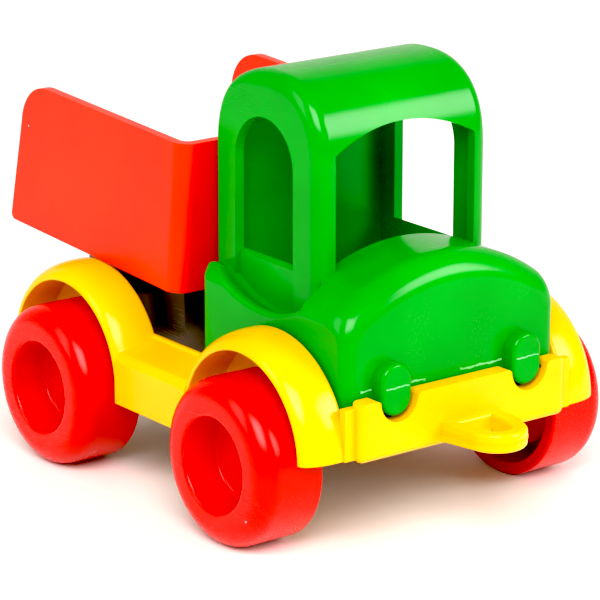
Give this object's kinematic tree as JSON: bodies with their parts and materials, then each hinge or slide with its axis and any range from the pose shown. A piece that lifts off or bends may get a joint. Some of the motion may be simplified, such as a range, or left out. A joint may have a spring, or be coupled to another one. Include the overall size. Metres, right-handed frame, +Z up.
{
  "type": "toy dump truck",
  "caption": "Toy dump truck with an open-window cab behind a rounded hood, a hinged bed that tips up, rolling wheels and a front tow loop.",
  "frame": {"origin": "Bottom centre of the bounding box: on the floor, under the middle of the truck.", "axes": "+X to the truck's front, +Y to its left, +Z up."},
  "size_m": [0.1177, 0.078, 0.0796],
  "materials": {
    "yellow_plastic": "gloss moulded polypropylene",
    "green_plastic": "gloss moulded polypropylene",
    "red_plastic": "gloss moulded polypropylene",
    "orange_red_plastic": "gloss moulded polypropylene",
    "black_plastic": "gloss moulded polypropylene",
    "steel": "bright zinc-plated"
  },
  "bodies": {
    "truck_body": {"fender_frame": "yellow_plastic", "chassis": "black_plastic", "cab_shell": "green_plastic", "bed_hinge_pin": "steel", "front_axle_keeper": "black_plastic", "rear_axle_keeper": "black_plastic", "front_keeper_left_screw": "steel", "front_keeper_right_screw": "steel", "rear_keeper_left_screw": "steel", "rear_keeper_right_screw": "steel", "cab_front_left_screw": "steel", "cab_front_right_screw": "steel", "cab_rear_left_screw": "steel", "cab_rear_right_screw": "steel", "frame_left_screw": "steel", "frame_right_screw": "steel"},
    "front_wheelset": {"front_axle": "steel", "front_left_wheel": "red_plastic", "front_right_wheel": "red_plastic"},
    "rear_wheelset": {"rear_axle": "steel", "rear_left_wheel": "red_plastic", "rear_right_wheel": "red_plastic"},
    "bed": {"dump_bed": "orange_red_plastic"}
  },
  "joints": [
    {"name": "front_wheels_roll", "type": "hinge", "parent": "truck_body", "child": "front_wheelset", "pos_m": [0.0251, 0, 0.015], "axis": [0, 1, 0], "continuous": true},
    {"name": "rear_wheels_roll", "type": "hinge", "parent": "truck_body", "child": "rear_wheelset", "pos_m": [-0.02965, 0, 0.015], "axis": [0, 1, 0], "continuous": true},
    {"name": "bed_tip", "type": "hinge", "parent": "truck_body", "child": "bed", "pos_m": [-0.0445, 0, 0.0349], "axis": [0, -1, 0], "range_deg": [0, 50]}
  ]
}
